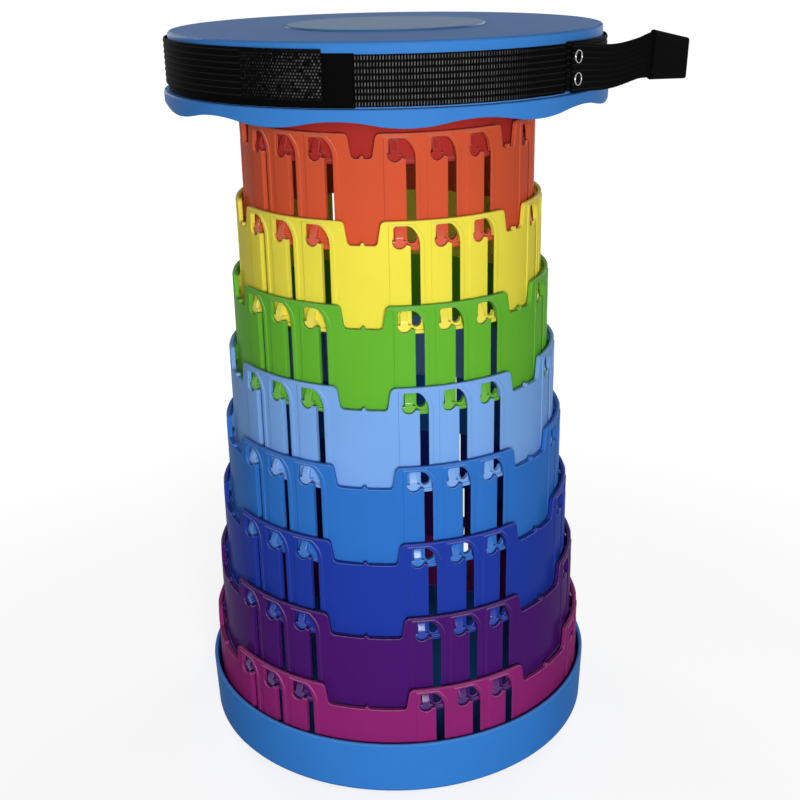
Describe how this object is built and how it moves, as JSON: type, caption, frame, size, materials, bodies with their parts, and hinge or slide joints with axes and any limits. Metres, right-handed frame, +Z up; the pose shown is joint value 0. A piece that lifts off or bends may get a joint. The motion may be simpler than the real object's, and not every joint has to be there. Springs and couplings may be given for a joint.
{
  "type": "telescoping stool",
  "caption": "Round telescoping stool whose slotted coloured rings lock at full height and slide into one another, with a strap round the seat.",
  "frame": {"origin": "on the floor under the middle of the base, at the stool's axis", "axes": "+Z up along the sliding axis, -Y to the front with a notch of each ring facing it"},
  "size_m": [0.3083, 0.2606, 0.4486],
  "materials": {
    "seat_blue": "satin moulded plastic",
    "red": "satin moulded plastic",
    "inner_red": "satin moulded plastic",
    "yellow": "satin moulded plastic",
    "green": "satin moulded plastic",
    "sky_blue": "satin moulded plastic",
    "mid_blue": "satin moulded plastic",
    "royal_blue": "satin moulded plastic",
    "purple": "satin moulded plastic",
    "magenta": "satin moulded plastic",
    "webbing": "woven black webbing",
    "hook_tape": "plain black hook tape",
    "eyelet": "bright plated",
    "screw": "zinc plated",
    "foot": "matt rubber"
  },
  "bodies": {
    "base": {"base_cup": "seat_blue", "base_foot_ring": "foot", "magenta_ring": "magenta"},
    "purple": {"purple_ring": "purple"},
    "royal_blue": {"royal_blue_ring": "royal_blue"},
    "mid_blue": {"mid_blue_ring": "mid_blue"},
    "sky_blue": {"sky_blue_ring": "sky_blue"},
    "green": {"green_ring": "green"},
    "yellow": {"yellow_ring": "yellow"},
    "red": {"red_ring": "red"},
    "seat": {"seat_ring": "inner_red", "seat_shell": "seat_blue", "seat_medallion": "seat_blue", "seat_screws": "screw", "strap_front_band": "webbing", "strap_back_band": "webbing", "strap_hook_patch": "hook_tape", "strap_left_end": "webbing", "strap_tail": "webbing", "strap_tail_tab": "webbing", "strap_rivets": "eyelet"}
  },
  "joints": [
    {"name": "purple_slide", "type": "slide", "parent": "base", "child": "purple", "axis": [0, 0, 1], "range_m": [-0.0465, 0]},
    {"name": "royal_blue_slide", "type": "slide", "parent": "purple", "child": "royal_blue", "axis": [0, 0, 1], "range_m": [-0.0465, 0]},
    {"name": "mid_blue_slide", "type": "slide", "parent": "royal_blue", "child": "mid_blue", "axis": [0, 0, 1], "range_m": [-0.0465, 0]},
    {"name": "sky_blue_slide", "type": "slide", "parent": "mid_blue", "child": "sky_blue", "axis": [0, 0, 1], "range_m": [-0.0465, 0]},
    {"name": "green_slide", "type": "slide", "parent": "sky_blue", "child": "green", "axis": [0, 0, 1], "range_m": [-0.0465, 0]},
    {"name": "yellow_slide", "type": "slide", "parent": "green", "child": "yellow", "axis": [0, 0, 1], "range_m": [-0.0465, 0]},
    {"name": "red_slide", "type": "slide", "parent": "yellow", "child": "red", "axis": [0, 0, 1], "range_m": [-0.0465, 0]},
    {"name": "seat_slide", "type": "slide", "parent": "red", "child": "seat", "axis": [0, 0, 1], "range_m": [-0.0465, 0]}
  ]
}
